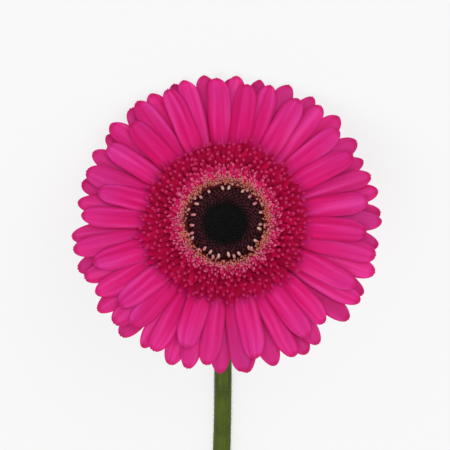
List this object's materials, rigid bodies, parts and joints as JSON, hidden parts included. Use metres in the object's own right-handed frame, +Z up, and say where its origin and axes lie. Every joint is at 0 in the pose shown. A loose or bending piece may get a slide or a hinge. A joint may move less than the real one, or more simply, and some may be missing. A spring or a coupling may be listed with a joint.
{
  "type": "cut gerbera",
  "caption": "Cut gerbera lying on its stem: a pink daisy head with a crimson inner ring and a dark eye, lifted by a curved neck and resting on its front petals.",
  "frame": {"origin": "on the surface that the flower lies on, under the middle of its box", "axes": "+Z up; the stem runs along -Y to its cut end, and the head's front petals rest at the +Y end"},
  "size_m": [0.1107, 0.4001, 0.0611],
  "materials": {
    "stem": "soft green stem, matte under fine hairs",
    "bracts": "green bracts, matte and slightly hairy",
    "pink_petals": "satin pink petals with fine lengthwise furrows",
    "crimson_petals": "satin crimson florets with paler tips",
    "anthers": "matte cream to orange tips",
    "dark_buds": "matte near-black buds"
  },
  "bodies": {
    "root": {"stem": "stem", "involucre": "bracts", "ray_florets": "pink_petals", "trans_florets": "crimson_petals", "open_florets": "anthers", "disk_buds": "dark_buds"}
  },
  "joints": []
}
